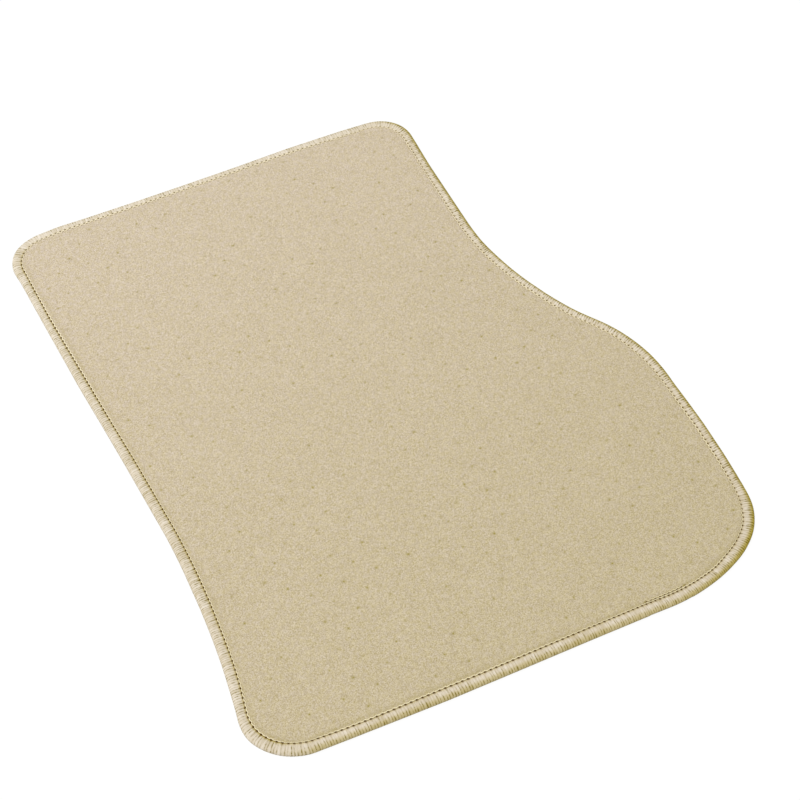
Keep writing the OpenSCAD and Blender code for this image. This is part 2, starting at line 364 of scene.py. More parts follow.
# Slow differences in how the tufts lean are added to the grain of their tips
tone = grain
for value, weight in ((lean, 0.05), (patch, 0.03)):
    tone = add_node(tree, "ShaderNodeMath", {"operation": "MULTIPLY_ADD"}, {
        0: value, 1: weight, 2: tone}).outputs[0]
light = add_node(tree, "ShaderNodeMapRange", {}, {"Value": tone, "From Min": 0.31, "From Max": 0.77})
tips = add_node(tree, "ShaderNodeMix", {"data_type": "RGBA"}, {
    0: light.outputs[0], 6: linear("#bbac8f"), 7: linear("#ebdfd6")}).outputs[2]
yellow = add_node(tree, "ShaderNodeMapRange", {}, {"Value": dye, "From Min": 0.35, "From Max": 0.65})
dyed = add_node(tree, "ShaderNodeMix", {"data_type": "RGBA", "blend_type": "MULTIPLY"}, {
    0: yellow.outputs[0], 6: tips, 7: (1.0, 0.995, 0.87, 1.0)}).outputs[2]
olive_grained_shade = add_node(tree, "ShaderNodeMath", {"operation": "MULTIPLY", "use_clamp": True}, {0: dent, 1: grain})
# Painted shade: the pile darker and yellower towards the heel
coloured = heel_shade(tree, place, dyed, (0.84, 0.84, 0.715, 1.0))
# Painted shade: olive in the dimples, along the seam and on the roll's flank, brown in the needle holes
for share, colour in ((olive_grained_shade.outputs[0], "#948610"), (press, "#522c00")):
    coloured = add_node(tree, "ShaderNodeMix", {"data_type": "RGBA"}, {
        0: share, 6: coloured, 7: linear(colour)}).outputs[2]
# Fibres at the bottom of a needle hole have no sheen
sheen = add_node(tree, "ShaderNodeMapRange", {}, {"Value": press, "To Min": 0.07, "To Max": 0.0}).outputs[0]
relief = add_node(tree, "ShaderNodeBump", {}, {"Height": grain, "Strength": 0.5, "Distance": 1.1 * MM})
surface = add_node(tree, "ShaderNodeBsdfPrincipled", {}, {
    "Base Color": coloured, "Normal": relief.outputs[0], "Roughness": 0.95, "IOR": 1.5,
    "Specular IOR Level": sheen, "Sheen Weight": sheen, "Sheen Roughness": 0.6,
    "Sheen Tint": linear("#f1e6cf")})
set_surface(pile_finish, surface)

# %% [markdown]
# ## The lattice of nibs
#
# The nibs stand in rows that are shifted by half a step, as in a perforated mould, and the pile has a dimple
# over each one. A point is kept if it lies inside the outline drawn 16.8 mm in from the rim, which is tested
# by counting the edges that a level line to its right crosses.

# %% Find the nibs
NIB_PITCH, NIB_ROW, NIB_X, NIB_Y, NIB_IN = 32.9, 15.4, -3.1, 5.9, 16.8
NIB_REACH = 26
# One point in so many of the outline is enough to test what lies inside it
EVERY = 16


def inside(points, inset):
    """Whether each point lies inside the outline at a distance in from the rim: an odd number of edges
    cross the level line to its right."""
    ax, ay = (rim_points - rim_normals * inset)[::EVERY].T
    bx, by = np.roll(ax, -1), np.roll(ay, -1)
    x, y = points[:, :1], points[:, 1:]
    crosses = (ay > y) != (by > y)
    level_x = ax + (bx - ax) * (y - ay) / np.where(by == ay, 1, by - ay)
    return (crosses & (x < level_x)).sum(axis=1) % 2 == 1


def staggered(pitch, row, reach):
    """Points of a lattice whose odd rows are shifted by half a pitch, round the nib nearest the middle."""
    j, i = np.mgrid[-reach:reach + 1, -reach:reach + 1]
    return np.stack([NIB_X + (i + 0.5 * (j % 2)) * pitch, NIB_Y + j * row], axis=-1).reshape(-1, 2)


nibs = staggered(NIB_PITCH, NIB_ROW, NIB_REACH)
nibs = nibs[inside(nibs, NIB_IN)]
print(len(nibs), "nibs")

# %% [markdown]
# ## The pile
#
# The pile could be hair, but at this distance single fibres are far smaller than a pixel, so the grain is in
# the finish and the form is a closed sheet. Near the edge its points run in rings along the seam, where the
# stitches pull the pile down. Inside them lies a loose grid with a pit over every nib. A Delaunay
# triangulation joins the grid to the innermost ring.

# %% Heights of the pile near the seam
PILE_Z, GROOVE_Z, TOP_Z = 4.4, 8.1, 9.0
# Where the seam's end runs beside its beginning, how fast that fades in, and how far the second row lies in
# from the first, in mm, then the share of a stitch by which its holes lag behind
TIE_FROM, TIE_TO, TIE_FADE, TIE_GAP, TIE_PHASE = 399.0, 439.0, 4.0, 2.4, 0.3
# Way, across and along, towards the heel and left sides, where the roll's flank and the needle holes get
# more painted shade
SHADE_WAY, HOLE_SHADE_BASE, HOLE_SHADE_MORE = (-0.45, -0.89), 0.92, 0.32
# Direction of the left side, which gets more painted shade along the seam
LEFT_WAY = (-1.0, 0.0)
# Distance in from the rim of the holes, the foot of the roll and the flank, in mm
HOLE_AT, ROLL_AT, FLANK_AT = HOLE_IN + 0.3, SEAM_IN + 0.3, 12.9
# Size of a hole and its halo along the seam, in stitches, then sizes across the seam and the pit, in mm
HOLE_LONG, HALO_LONG = 0.14, 0.22
HOLE_WIDE, LINE_WIDE, ROLL_WIDE, FLANK_WIDE, PIT = 0.7, 0.8, 0.5, 1.6, 0.7
# Painted shade along the line of holes, how much more of it on the left side, in a hole, and its loss on the
# roll
LINE_SHADE, LEFT_SHADE, HOLE_SHADE, ROLL_LIGHT = 0.05, 0.45, 1.6, 0.6
# Painted olive shade between the holes and how much more of it in a halo, on the line and on the flank
LINE_OLIVE, LINE_HALO, FLANK_OLIVE, FLANK_HALO = 0.45, 0.85, 0.252, 0.336


def smooth_step(low, high, x):
    """0 at low, 1 at high and 3 u^2 - 2 u^3 between them."""
    u = np.clip((x - low) / (high - low), 0, 1)
    return u * u * (3 - 2 * u)


def beside_tie(s):
    """1 where the seam's end runs beside its beginning, falling to 0 over TIE_FADE at both ends."""
    return smooth_step(TIE_FROM - TIE_FADE, TIE_FROM, s) * smooth_step(TIE_TO + TIE_FADE, TIE_TO, s)


def facing(s, direction):
    """Cosine of the angle between the rim's outward normal at length s along the seam and a direction."""
    nx, ny = (np.interp(s % SEAM_LENGTH, SEAM_AT, column) for column in edge_table.T[2:])
    return (nx * direction[0] + ny * direction[1]) / np.hypot(nx, ny)


def side_shade(s):
    """How much painted shade the seam and its needle holes get at length s along the seam: about 1, and
    more on the heel and left sides."""
    return HOLE_SHADE_BASE + HOLE_SHADE_MORE * facing(s, SHADE_WAY)


def on_left(s):
    """1 on the left side, which gets more painted shade, and 0 on the others."""
    return smooth_step(0.3, 0.9, facing(s, LEFT_WAY))


def bell(x, width):
    """exp(-(x / width)^2), a bump round 0."""
    return np.exp(-(x / width) ** 2)


def off_hole(k, phase=0.0):
    """How far stitch number k lies from the nearest needle hole, in stitches from -0.5 to 0.5."""
    return (k - phase + 0.5) % 1 - 0.5


def swell(x, y):
    """Slow waves of the pile's height, from -1 to 1: twelve sines of random direction, 14 to 70 mm long."""
    waves = np.random.default_rng(5)
    length = np.geomspace(14, 70, 12)
    angle, phase = waves.uniform(0, 2 * math.pi, (2, len(length)))
    return np.sin((x[..., None] * np.cos(angle) + y[..., None] * np.sin(angle)) * 2 * math.pi / length
                  + phase).mean(axis=-1)


def seam_height(k, t):
    """Height, painted shade, painted olive shade and rise of the pile t in from the rim at stitch k: level
    in the groove, with a shallow pit at each needle hole, then a rise like 1 - exp(-x) to the full height,
    as tufts lean over a seam. The painted shade is about 1 in a hole and less along the line that joins the
    holes.
    Painted olive shade shows along that line and on the roll's flank, most of all in a halo round each hole."""
    s = needle_at(k)
    tie = beside_tie(s)
    rise = 1 - np.exp(-np.maximum(t - ROLL_AT - TIE_GAP * tie, 0) / ROLL_WIDE)
    hole = bell(off_hole(k), HOLE_LONG) * bell(t - HOLE_AT, HOLE_WIDE)
    hole = hole + tie * bell(off_hole(k, TIE_PHASE), HOLE_LONG) * bell(t - HOLE_AT - TIE_GAP, HOLE_WIDE)
    line = bell(t - HOLE_AT, LINE_WIDE) + tie * bell(t - HOLE_AT - TIE_GAP, LINE_WIDE)
    halo = bell(off_hole(k), HALO_LONG)
    flank = smooth_step(-0.2, 0.8, facing(s, SHADE_WAY)) * bell(t - FLANK_AT, FLANK_WIDE)
    height = GROOVE_Z + (TOP_Z - GROOVE_Z) * rise - PIT * hole
    # Painted shade in the holes and along their line, more on the left side and on the heel and left sides
    shade = ((LINE_SHADE + LEFT_SHADE * on_left(s)) * line + HOLE_SHADE * hole) * side_shade(s)
    shade = np.clip(shade, 0, 1) * (1 - ROLL_LIGHT * rise)
    olive = (LINE_OLIVE + LINE_HALO * halo) * line + (FLANK_OLIVE + FLANK_HALO * halo) * flank
    return height, shade, olive, rise


print("pile from", PILE_Z, "to", TOP_Z, "mm, pulled down to", GROOVE_Z, "mm along the seam")

# %% Build the pile
PILE_RINGS = np.array([2.25, 8.6, 9.3, 9.83, 10.3, 10.7, 11.1, 11.6, 12.2, 12.8, 13.5, 14.3, 15.2])
STATIONS = 6
CELL_ACROSS, CELL_ALONG, CELL_JITTER, CELL_REACH, CELL_CLEAR = 2.35, 2.2, 0.45, 165, 1.2
DIMPLE_DEPTH, DIMPLE_R, DIMPLE_SIDES, DIMPLE_CLEAR = 0.16, 1.0, 6, 1.6
# Depth of the deepest dimple, and of a dimple's collar, as shares of DIMPLE_DEPTH and of the dimple's own
# The same shares set how much painted olive shade each dimple and its collar get
DEEPEST, COLLAR_DENT = 2.2, 0.3
TUFT_RELIEF, SWELL = 0.03, 0.08

ring_k = np.arange(STITCHES * STATIONS) / STATIONS
k, t = np.meshgrid(ring_k, PILE_RINGS, indexing="ij")
height, shade, olive, rise = seam_height(k, t)
rings = sewn_point(needle_at(k), t, height)
rings[..., 2] += rise * (SWELL * swell(rings[..., 0], rings[..., 1]) + rng.normal(0, TUFT_RELIEF, k.shape))

grid = staggered(CELL_ACROSS, CELL_ALONG, CELL_REACH)
grid = grid[inside(grid, STILL_IN + CELL_CLEAR)]
grid += rng.uniform(-CELL_JITTER, CELL_JITTER, grid.shape)
nib_row = np.round((grid[:, 1] - NIB_Y) / NIB_ROW)
across = (grid[:, 0] - NIB_X) / NIB_PITCH - 0.5 * (nib_row % 2)
off_nib = np.hypot((across - np.round(across)) * NIB_PITCH, grid[:, 1] - NIB_Y - nib_row * NIB_ROW)
grid = grid[off_nib > DIMPLE_CLEAR]
depth = rng.uniform(0.0, DEEPEST, len(nibs))
collar = (nibs[:, None] + DIMPLE_R * rng.uniform(0.8, 1.3, (len(nibs), DIMPLE_SIDES, 1))
          * circle(DIMPLE_SIDES)).reshape(-1, 2)
field = np.concatenate([grid, nibs, collar])
field_dent = np.concatenate([np.zeros(len(grid)), depth, np.repeat(COLLAR_DENT * depth, DIMPLE_SIDES)])
field_z = TOP_Z + SWELL * swell(field[:, 0], field[:, 1]) - DIMPLE_DEPTH * field_dent
field_z += rng.normal(0, TUFT_RELIEF, len(field)) * (field_dent == 0)

ring_count = len(PILE_RINGS)
outer, inner = (np.arange(len(ring_k)) * ring_count + j for j in (0, ring_count - 1))
low = sewn_point(needle_at(ring_k), PILE_RINGS[0], PILE_Z)
pile_points = np.concatenate([rings.reshape(-1, 3), np.column_stack([field, field_z]), low])
field_from, low_from = rings.size // 3, rings.size // 3 + len(field)
field_number = np.concatenate([inner, field_from + np.arange(len(field))])
low_number = low_from + np.arange(len(low))
pile_triangles = np.concatenate([
    grid_triangles(len(ring_k), ring_count, False),
    field_number[fill(rings[:, -1, :2], field)],
    wall(outer, low_number),
    low_number[fill(low[:, :2])][:, ::-1]])
# Painted olive shade and painted brown shade go along as values for the finish
pile = make_piece("pile_carpet", pile_points, pile_triangles, pile_finish,
                  dent=np.concatenate([olive.ravel(), field_dent, np.zeros(len(low))]),
                  press=np.concatenate([shade.ravel(), np.zeros(len(field) + len(low))]))
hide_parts("pile_face")

# %% [markdown]
# ## Finish of the edge yarn
#
# Bulked nylon yarn: a loose bundle of crimped filaments, so each turn is soft and rounded, streaked along
# its length and a little shiny. The creases between turns get painted olive shade, and here and there
# filaments bridge a crease. Each turn takes a slightly different tone. Painted golden shade lies on the rim
# of the heel and right sides, along the seam and round the needle holes, and painted brown shade in the
# notches.

# %% Bulked nylon yarn
FILAMENT_MM, STREAK_MM, BRIDGE_MM = 0.7, 8.0, 3.0

yarn_finish, tree = new_material("bulked_nylon_yarn_beige")
wrap = add_node(tree, "ShaderNodeAttribute", {"attribute_name": "wrap"}, {}).outputs["Vector"]
crease_shade, notch_shade, tone_of_turn, gold_shade = (
    add_node(tree, "ShaderNodeAttribute", {"attribute_name": key}, {}).outputs["Fac"]
    for key in ("crease_shade", "notch_shade", "tone", "gold_shade"))
along_turn = add_node(tree, "ShaderNodeMapping", {}, {
    "Vector": wrap, "Scale": (1 / FILAMENT_MM, 1 / STREAK_MM, 1)}).outputs[0]
place = add_node(tree, "ShaderNodeTexCoord", {}, {}).outputs["Object"]
filament = add_node(tree, "ShaderNodeTexNoise", {}, {
    "Vector": along_turn, "Scale": 1.0, "Detail": 2.0, "Roughness": 0.55}).outputs["Fac"]
streak = add_node(tree, "ShaderNodeMath", {"operation": "ADD"}, {0: filament, 1: tone_of_turn})
light = add_node(tree, "ShaderNodeMapRange", {}, {
    "Value": streak.outputs[0], "From Min": 0.19, "From Max": 0.81})
streaked = add_node(tree, "ShaderNodeMix", {"data_type": "RGBA"}, {
    0: light.outputs[0], 6: linear("#d1c4a8"), 7: linear("#f3ebdf")}).outputs[2]
# Noise fills a crease here and there, where filaments bridge it
bridge = add_node(tree, "ShaderNodeTexNoise", {}, {
    "Vector": place, "Scale": per_mm(BRIDGE_MM), "Detail": 2.0}).outputs["Fac"]
gap = add_node(tree, "ShaderNodeMapRange", {}, {
    "Value": bridge, "From Min": 0.35, "From Max": 0.65, "To Min": 0.3, "To Max": 1.7})
crease_shade = add_node(tree, "ShaderNodeMath", {"operation": "MULTIPLY", "use_clamp": True}, {
    0: crease_shade, 1: gap.outputs[0]}).outputs[0]
# Painted shade: the yarn darker and yellower towards the heel
coloured = heel_shade(tree, place, streaked, (0.90, 0.89, 0.87, 1.0))
# Painted shade: gold on the rims and along the seam, olive in the creases, brown in the notches
for share, colour in ((gold_shade, "#baa840"), (crease_shade, "#807018"), (notch_shade, "#522c00")):
    coloured = add_node(tree, "ShaderNodeMix", {"data_type": "RGBA"}, {
        0: share, 6: coloured, 7: linear(colour)}).outputs[2]
sheen = add_node(tree, "ShaderNodeMapRange", {}, {"Value": notch_shade, "To Min": 0.08, "To Max": 0.0}).outputs[0]
relief = add_node(tree, "ShaderNodeBump", {}, {"Height": filament, "Strength": 0.35, "Distance": 0.25 * MM})
surface = add_node(tree, "ShaderNodeBsdfPrincipled", {}, {
    "Base Color": coloured, "Normal": relief.outputs[0], "Roughness": 0.7, "IOR": 1.53,
    "Specular IOR Level": sheen, "Sheen Weight": sheen, "Sheen Roughness": 0.5,
    "Sheen Tint": linear("#f6ecd9")})
set_surface(yarn_finish, surface)

# %% [markdown]
# ## The edge yarn
#
# Two loopers lay the yarn: the upper one's turns lie over the edge, the lower one's under it, and they meet
# along the rim. Each stitch has two turns, which start together under the needle thread and fan out to the
# rim, so a notch with painted brown shade opens between one pair and the next at every needle hole. The
# turns could be hundreds of tubes, but they are packed too tightly to see between, so each yarn is one
# closed profile carried round the mat. Its surface swells and sinks as sqrt(1 - x^2) across each turn.

# %% Turns of the yarn
TURN_PARTS = np.array([0.0, 0.1, 0.3, 0.5, 0.7, 0.9])
TURNS = 2 * STITCHES
# Depth of a crease in mm, and the share of it that a pair of turns loses near the seam
CREASE_DEPTH, PAIRED = 0.06, 0.5
# How far the yarn sinks and draws back at a needle hole and stands up beside the tie, in mm
NOTCH_DEPTH, NOTCH_BACK, TIE_LIFT = 0.25, 0.5, 0.3
# Slant along the seam for each millimetre of profile, and its spread from turn to turn
SLANT, SLANT_SPREAD = 0.06, 0.0044
# Length of a notch and of the painted golden shade round it, in stitches, and how dark the notch's painted
# shade is
NOTCH_LONG, GOLD_LONG, NOTCH_SHADE = 0.12, 0.2, 1.4
# Direction of the sides whose rim gets painted golden shade, then the distances from the rim between which
# it fades, in mm
GOLD_WAY = (0.97, -0.25)
GOLD_IN, PALE_IN = 1.0, 5.8
# Painted golden shade along the seam, how much more of it on the left side, and round a hole
SEAM_GOLD, LEFT_GOLD, HOLE_GOLD = 0.45, 0.5, 0.9
# How far painted crease shade shows everywhere and at the rim, then less at the rim and more farther in on
# the left side
SHOWN, RIM_SHOWN, RIM_LEFT, SEAM_LEFT = 0.2, 1.05, 0.45, 0.7
# What that is multiplied by, and how much more on the sides with painted golden shade
PLAIN, GOLD_SIDE_MORE = 0.7, 1.0
RIM_R, UNDER_R, RIM_Z, CUT_IN = 4.0, 3.5, 4.9, 2.2
SHEET_Z, YARN_FOOT_Z = 2.2, 7.5

start = (np.arange(TURNS) + rng.uniform(-0.25, 0.25, TURNS)) / 2
start[::2] = np.arange(STITCHES) + rng.uniform(-0.05, 0.05, STITCHES)
width = np.diff(start, append=start[0] + STITCHES)
turn_k = (start[:, None] + width[:, None] * TURN_PARTS).ravel()
turn_round = np.tile(np.sqrt(1 - (2 * TURN_PARTS - 1) ** 2), TURNS)
turn_bulk = np.repeat(rng.uniform(0.75, 1.1, TURNS), len(TURN_PARTS))
turn_tone = np.repeat(np.clip(rng.normal(0.03, 0.09, TURNS), -0.25, 0.3), len(TURN_PARTS))
turn_dark = np.repeat(rng.uniform(0.6, 1.6, TURNS), len(TURN_PARTS))
turn_slant = np.repeat(SLANT + rng.normal(0, SLANT_SPREAD, TURNS), len(TURN_PARTS))
turn_fade = np.repeat(rng.uniform(2.0, 7.0, TURNS), len(TURN_PARTS))
in_pair = smooth_step(0.5, 0.9, 1 - np.abs((turn_k % 1) - 0.5) * 2)
pair_end = np.floor(turn_k) + 0.5


def yarn_ring(profile):
    """Points and values of a yarn: a closed profile of (t, z, swell, gather) carried round the mat. Swell is
    how much of a turn's roundness shows there, and gather how far the turns draw together towards the middle
    of their stitch. A turn moves along the seam by its slant times its swell and the length of profile."""
    t, z, swell_share, gather = np.array(profile).T
    length = np.cumsum(np.hypot(np.diff(t, prepend=t[0]), np.diff(z, prepend=z[0])))
    tangent = np.stack([np.roll(t, -1) - np.roll(t, 1), np.roll(z, -1) - np.roll(z, 1)])
    tangent /= np.linalg.norm(tangent, axis=0)
    out_t, out_z = -tangent[1], tangent[0]
    k = turn_k[:, None] + gather * (pair_end - turn_k)[:, None]
    s = needle_at(k) + turn_slant[:, None] * (length * swell_share)
    near_seam = gather / gather.max()
    from_hole, facing_gold, left_share = off_hole(turn_k)[:, None], facing(s, GOLD_WAY), on_left(s)
    # Painted golden shade on the rims of the heel and right sides, along the seam and round each hole
    rim_gold = (smooth_step(-0.5, 0.9, facing_gold) * smooth_step(PALE_IN, GOLD_IN, t)
                * (0.5 + 0.5 * smooth_step(1.5, 5.5, z)))
    seam_gold = (SEAM_GOLD + LEFT_GOLD * left_share) * (near_seam * side_shade(s)) ** 2
    hole_gold = HOLE_GOLD * bell(from_hole, GOLD_LONG) * near_seam ** 4
    gold_shade = np.maximum(np.maximum(rim_gold, seam_gold), hole_gold)
    groove = (1 - PAIRED * in_pair[:, None] * near_seam) * swell_share
    at_hole = bell(from_hole, NOTCH_LONG) * near_seam ** 4
    tie = beside_tie(needle_at(turn_k))[:, None] * swell_share
    depth = CREASE_DEPTH * (1 - turn_round * turn_bulk)[:, None] * groove
    depth = depth + NOTCH_DEPTH * at_hole - TIE_LIFT * tie
    points = sewn_point(s, t - out_t * depth - NOTCH_BACK * at_hole, z - out_z * depth)
    # Painted shade in the creases, strongest at the rim
    at_rim = (RIM_SHOWN - RIM_LEFT * left_share) * smooth_step(2, -2, t - turn_fade[:, None])
    shown = SHOWN + at_rim + SEAM_LEFT * left_share * smooth_step(2, 8, t)
    shown = shown * (PLAIN + GOLD_SIDE_MORE * smooth_step(0.3, 0.9, facing_gold))
    crease_shade = (turn_dark * (1 - turn_round))[:, None] * groove * shown
    # Painted brown shade in the notch at each needle hole, more on the heel and left sides
    notch_shade = NOTCH_SHADE * at_hole * side_shade(s)
    wrap = np.stack(np.broadcast_arrays(s, length, 0.0), axis=-1)
    tone = np.broadcast_to(turn_tone[:, None], s.shape)
    return points.reshape(-1, 3), {
        "crease_shade": np.clip(crease_shade, 0, 1).ravel(), "notch_shade": np.clip(notch_shade, 0, 1).ravel(),
        "tone": tone.ravel(), "gold_shade": gold_shade.ravel(), "wrap": wrap.reshape(-1, 3)}


print(TURNS, "turns,", len(turn_k), "stations round the edge")

# %% Upper and lower looper yarn
quarter = np.radians([0, 20, 40, 58, 75, 90])
upper_profile = [(9.35, YARN_FOOT_Z, 0.0, 0.32), (9.95, 7.75, 0.6, 0.32), (9.85, 8.05, 0.9, 0.30),
                 (9.0, 8.33, 1.0, 0.22), (7.8, 8.55, 1.0, 0.11), (6.4, 8.75, 1.0, 0.04),
                 (5.1, 8.87, 1.0, 0.0)]
upper_profile += [(RIM_R * (1 - math.sin(a)), RIM_Z + RIM_R * math.cos(a), 1.0, 0.0) for a in quarter]
upper_profile += [(CUT_IN, RIM_Z, 0.0, 0.0), (CUT_IN, YARN_FOOT_Z, 0.0, 0.0)]
lower_profile = [(RIM_R * (1 - math.cos(a)), RIM_Z - UNDER_R * math.sin(a), 1.0, 0.0) for a in quarter]
lower_profile += [(5.6, 1.32, 1.0, 0.0), (7.6, 1.25, 1.0, 0.03), (9.6, 1.25, 1.0, 0.1),
                  (11.4, 1.35, 1.0, 0.2), (13.0, 1.5, 0.9, 0.32), (13.9, 1.75, 0.6, 0.4),
                  (13.7, SHEET_Z, 0.0, 0.4)]
lower_profile += [(CUT_IN, SHEET_Z, 0.0, 0.0), (CUT_IN, RIM_Z, 0.0, 0.0)]
for name, node, profile in (("edge_yarn_upper", "upper_looper_yarn", upper_profile),
                            ("edge_yarn_lower", "lower_looper_yarn", lower_profile)):
    points, values = yarn_ring(profile)
    triangles = grid_triangles(len(turn_k), len(profile), True)
    yarn = make_piece(name, points, triangles, yarn_finish, **values)
    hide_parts(node)

# %% [markdown]
# ## Needle thread
#
# A twisted sewing thread, thinner and paler than the yarn, with warm painted shade on its lower side. On
# the face it runs from hole to hole over the ends of the turns. At each hole it sinks and swings away from
# the rim, because there it goes down through the mat. Where the end of the seam runs beside its beginning
# there is a second, short row. A curve with a bevel would give a tube as well, but a circle carried along
# the seam follows the drift like the yarn does.

# %% Twisted sewing thread
TWIST_MM = 1.3

thread_finish, tree = new_material("twisted_sewing_thread_cream")
strand = add_node(tree, "ShaderNodeAttribute", {"attribute_name": "strand"}, {}).outputs["Vector"]
below = add_node(tree, "ShaderNodeAttribute", {"attribute_name": "below"}, {}).outputs["Fac"]
twist = add_node(tree, "ShaderNodeTexWave", {"bands_direction": "DIAGONAL"}, {
    "Vector": strand, "Scale": 0.5, "Distortion": 1.5, "Detail": 1.0}).outputs["Fac"]
plies = add_node(tree, "ShaderNodeMix", {"data_type": "RGBA"}, {
    0: twist, 6: linear("#eee0b8"), 7: linear("#fdf6e3")}).outputs[2]
place = add_node(tree, "ShaderNodeTexCoord", {}, {}).outputs["Object"]
# Painted shade: the thread darker and yellower towards the heel
heel_shaded = heel_shade(tree, place, plies, (0.89, 0.88, 0.77, 1.0))
# Painted shade: warm olive on the thread's lower side
shaded = add_node(tree, "ShaderNodeMix", {"data_type": "RGBA"}, {
    0: below, 6: heel_shaded, 7: linear("#8a6a12")}).outputs[2]
relief = add_node(tree, "ShaderNodeBump", {}, {"Height": twist, "Strength": 0.4, "Distance": 0.15 * MM})
surface = add_node(tree, "ShaderNodeBsdfPrincipled", {}, {
    "Base Color": shaded, "Normal": relief.outputs[0], "Roughness": 0.5, "IOR": 1.57,
    "Specular IOR Level": 0.2, "Sheen Weight": 0.05, "Sheen Roughness": 0.4})
set_surface(thread_finish, surface)

# %% Row of stitches
THREAD_R, THREAD_SIDES, THREAD_STEPS = 0.6, 6, 8
THREAD_IN, THREAD_SWING, THREAD_Z, THREAD_DIP = 10.4, 0.8, 8.7, 0.45
# How far a tapered end sinks, in mm, the taper's length in stitches and the tip's share of the thickness
TAPER_DIP, TAPER, TIP = 1.0, 0.6, 0.1


def thread_tube(k, phase, shift, thick):
    """Points and values of a thread along the stitch numbers k: circles of radius THREAD_R * thick
    across the seam, whose middle swings in and sinks at the holes with the fourth power of a cosine that
    makes half a turn in a stitch, so that the swings are short. The lower side gets painted shade, most in a
    hole."""
    wave = np.cos(math.pi * (k - phase))[:, None] ** 4
    around = np.arange(THREAD_SIDES) * 2 * math.pi / THREAD_SIDES
    s, radius = needle_at(k)[:, None], THREAD_R * thick[:, None]
    t = THREAD_IN + shift + THREAD_SWING * wave + radius * np.cos(around)
    z = THREAD_Z - THREAD_DIP * wave - TAPER_DIP * (1 - thick[:, None]) + radius * np.sin(around)
    strand = np.stack(np.broadcast_arrays(s / TWIST_MM, around / math.pi, 0.0), axis=-1)
    below = smooth_step(0.5 * wave, -0.9, np.sin(around)) * (0.7 + 0.3 * wave)
    return sewn_point(s, t, z).reshape(-1, 3), strand.reshape(-1, 3), below.ravel()


row_k = np.arange(STITCHES * THREAD_STEPS) / THREAD_STEPS
row = thread_tube(row_k, 0.0, 0.0, np.ones(len(row_k)))
tie_from, tie_to = np.interp([TIE_FROM, TIE_TO], np.append(along, SEAM_LENGTH), stitches_to)
tie_k = np.linspace(tie_from, tie_to, round((tie_to - tie_from) * THREAD_STEPS))
tie_thick = smooth_step(0, TAPER, tie_k - tie_from) * smooth_step(0, TAPER, tie_to - tie_k)
tie = thread_tube(tie_k, TIE_PHASE, TIE_GAP, tie_thick * (1 - TIP) + TIP)
points, strand, below = (np.concatenate(pair) for pair in zip(row, tie))
fan = np.arange(1, THREAD_SIDES - 1)
cap = np.stack([np.zeros_like(fan), fan, fan + 1], axis=1)
tie_tube = grid_triangles(len(tie_k), THREAD_SIDES, True)
tie_tube = tie_tube[np.ptp(tie_tube // THREAD_SIDES, axis=1) < 2]
tie_tube = np.concatenate([tie_tube, cap, cap[:, ::-1] + (len(tie_k) - 1) * THREAD_SIDES])
row_tube = grid_triangles(len(row_k), THREAD_SIDES, True)
thread = make_piece("needle_thread", points, np.concatenate([row_tube, tie_tube + len(row[0])]),
                    thread_finish, strand=strand, below=below)
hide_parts("needle_stitches")

# %% [markdown]
# ## Rubber backing with nibs
#
# The underside is one moulded rubber sheet. Its nibs taper to a small flat tip and press into the car's
# carpet. Hundreds of cones could be joined to a plate with booleans, but one mesh is lighter and closed: the
# sheet's lower face is triangulated round a circle at the root of each nib, and a short profile turned
# about each nib's axis closes that circle. The rubber is matt, with a fine grain from the mould and a little
# dust.

# %% Moulded rubber
GRAIN_MM, DUST_MM = 0.7, 30

rubber_finish, tree = new_material("moulded_nib_rubber_charcoal")
place = add_node(tree, "ShaderNodeTexCoord", {}, {}).outputs["Object"]
grain = add_node(tree, "ShaderNodeTexNoise", {}, {
    "Vector": place, "Scale": per_mm(GRAIN_MM), "Detail": 2.0}).outputs["Fac"]
dust = add_node(tree, "ShaderNodeTexNoise", {}, {
    "Vector": place, "Scale": per_mm(DUST_MM), "Detail": 6.0, "Roughness": 0.7}).outputs["Fac"]
dusty = add_node(tree, "ShaderNodeMapRange", {}, {
    "Value": dust, "From Min": 0.45, "From Max": 0.8, "To Min": 0.0, "To Max": 0.35}).outputs[0]
colour = add_node(tree, "ShaderNodeMix", {"data_type": "RGBA"}, {
    0: dusty, 6: linear("#2b2a29"), 7: linear("#5b5751")})
gloss = add_node(tree, "ShaderNodeMapRange", {}, {
    "Value": grain, "From Min": 0.3, "From Max": 0.7, "To Min": 0.55, "To Max": 0.75}).outputs[0]
relief = add_node(tree, "ShaderNodeBump", {}, {"Height": grain, "Strength": 0.3, "Distance": 0.1 * MM})
surface = add_node(tree, "ShaderNodeBsdfPrincipled", {}, {
    "Base Color": colour.outputs[2], "Roughness": gloss, "Normal": relief.outputs[0], "IOR": 1.52})
set_surface(rubber_finish, surface)

# %% Sheet and nibs
SHEET_TOP, SHEET_STATIONS, NIB_SIDES = 3.4, 560, 8
# Radius and height in mm down a nib: a flat collar, which keeps the sheet's shading level, then root to tip
NIB_PROFILE = np.array([(2.7, SHEET_Z), (2.2, SHEET_Z), (1.55, 1.2), (1.12, 0.25), (0.8, 0.0)])


def cut_line(z):
    """The cut edge of the layers, CUT_IN in from the drifting rim, at height z."""
    return sewn_point(np.arange(SHEET_STATIONS) * SEAM_LENGTH / SHEET_STATIONS, CUT_IN, z)


